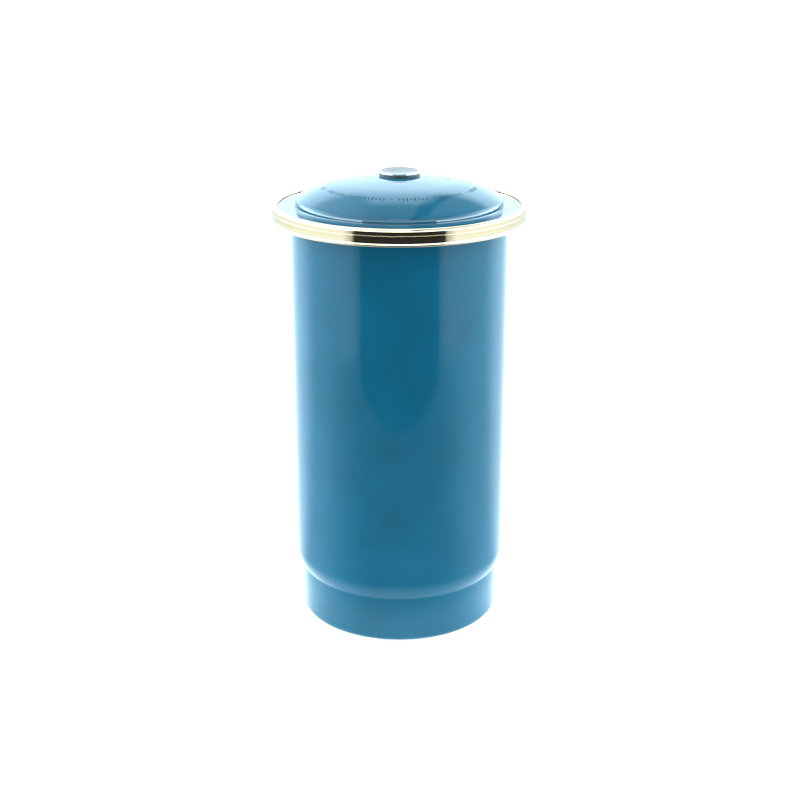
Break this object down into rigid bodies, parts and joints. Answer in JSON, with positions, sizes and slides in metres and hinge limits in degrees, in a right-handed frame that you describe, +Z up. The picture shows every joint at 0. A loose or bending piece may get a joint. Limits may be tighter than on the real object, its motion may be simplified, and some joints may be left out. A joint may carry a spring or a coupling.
{
  "type": "coffee percolator",
  "caption": "Tall cylindrical enamelled percolator can with a necked foot, brass-clad rim, domed lid with a low disc knob, and a lift-out pump, basket and spreader inside.",
  "frame": {"origin": "centre of the flat ring that the can stands on", "axes": "+Z up along the can's axis; the vent hole is at +X and a little towards -Y"},
  "size_m": [0.1168, 0.1168, 0.2155],
  "materials": {
    "teal_enamel": "glossy teal vitreous enamel on drawn steel",
    "brass": "polished and lacquered brass",
    "stainless_steel": "pressed stainless steel",
    "polished_steel": "polished stainless steel",
    "black_rubber": "moulded heat-proof rubber",
    "aluminium": "spun and drawn aluminium"
  },
  "bodies": {
    "vessel": {"vessel_can": "teal_enamel", "mouth_band": "brass"},
    "lid": {"lid_dome": "teal_enamel", "lid_band": "brass", "lid_collar": "stainless_steel", "lid_gasket": "black_rubber", "knob_cap": "polished_steel", "knob_grommet": "black_rubber", "knob_stud": "stainless_steel", "knob_washer": "stainless_steel", "knob_nut": "stainless_steel"},
    "pump": {"pump_tube": "aluminium", "pump_bell": "aluminium", "valve_cage": "stainless_steel", "valve_seat": "brass", "basket_stop": "aluminium"},
    "valve": {"valve_disc": "stainless_steel"},
    "basket": {"basket_cup": "aluminium", "basket_sleeve": "aluminium"},
    "spreader": {"spreader_plate": "aluminium", "spreader_ferrule": "aluminium"}
  },
  "joints": [
    {"name": "lid_lift", "type": "slide", "parent": "vessel", "child": "lid", "axis": [0, 0, 1], "range_m": [0, 0.4]},
    {"name": "pump_lift", "type": "slide", "parent": "vessel", "child": "pump", "axis": [0, 0, 1], "range_m": [0, 0.2]},
    {"name": "valve_lift", "type": "slide", "parent": "pump", "child": "valve", "axis": [0, 0, 1], "range_m": [0, 0.0025]},
    {"name": "basket_lift", "type": "slide", "parent": "pump", "child": "basket", "axis": [0, 0, 1], "range_m": [0, 0.08]},
    {"name": "spreader_lift", "type": "slide", "parent": "basket", "child": "spreader", "axis": [0, 0, 1], "range_m": [0, 0.04]}
  ],
  "couplings": [
    {"joint": "pump_lift", "follows": "lid_lift", "ratio": 0.5},
    {"joint": "basket_lift", "follows": "lid_lift", "ratio": 0.2},
    {"joint": "spreader_lift", "follows": "lid_lift", "ratio": 0.1}
  ]
}
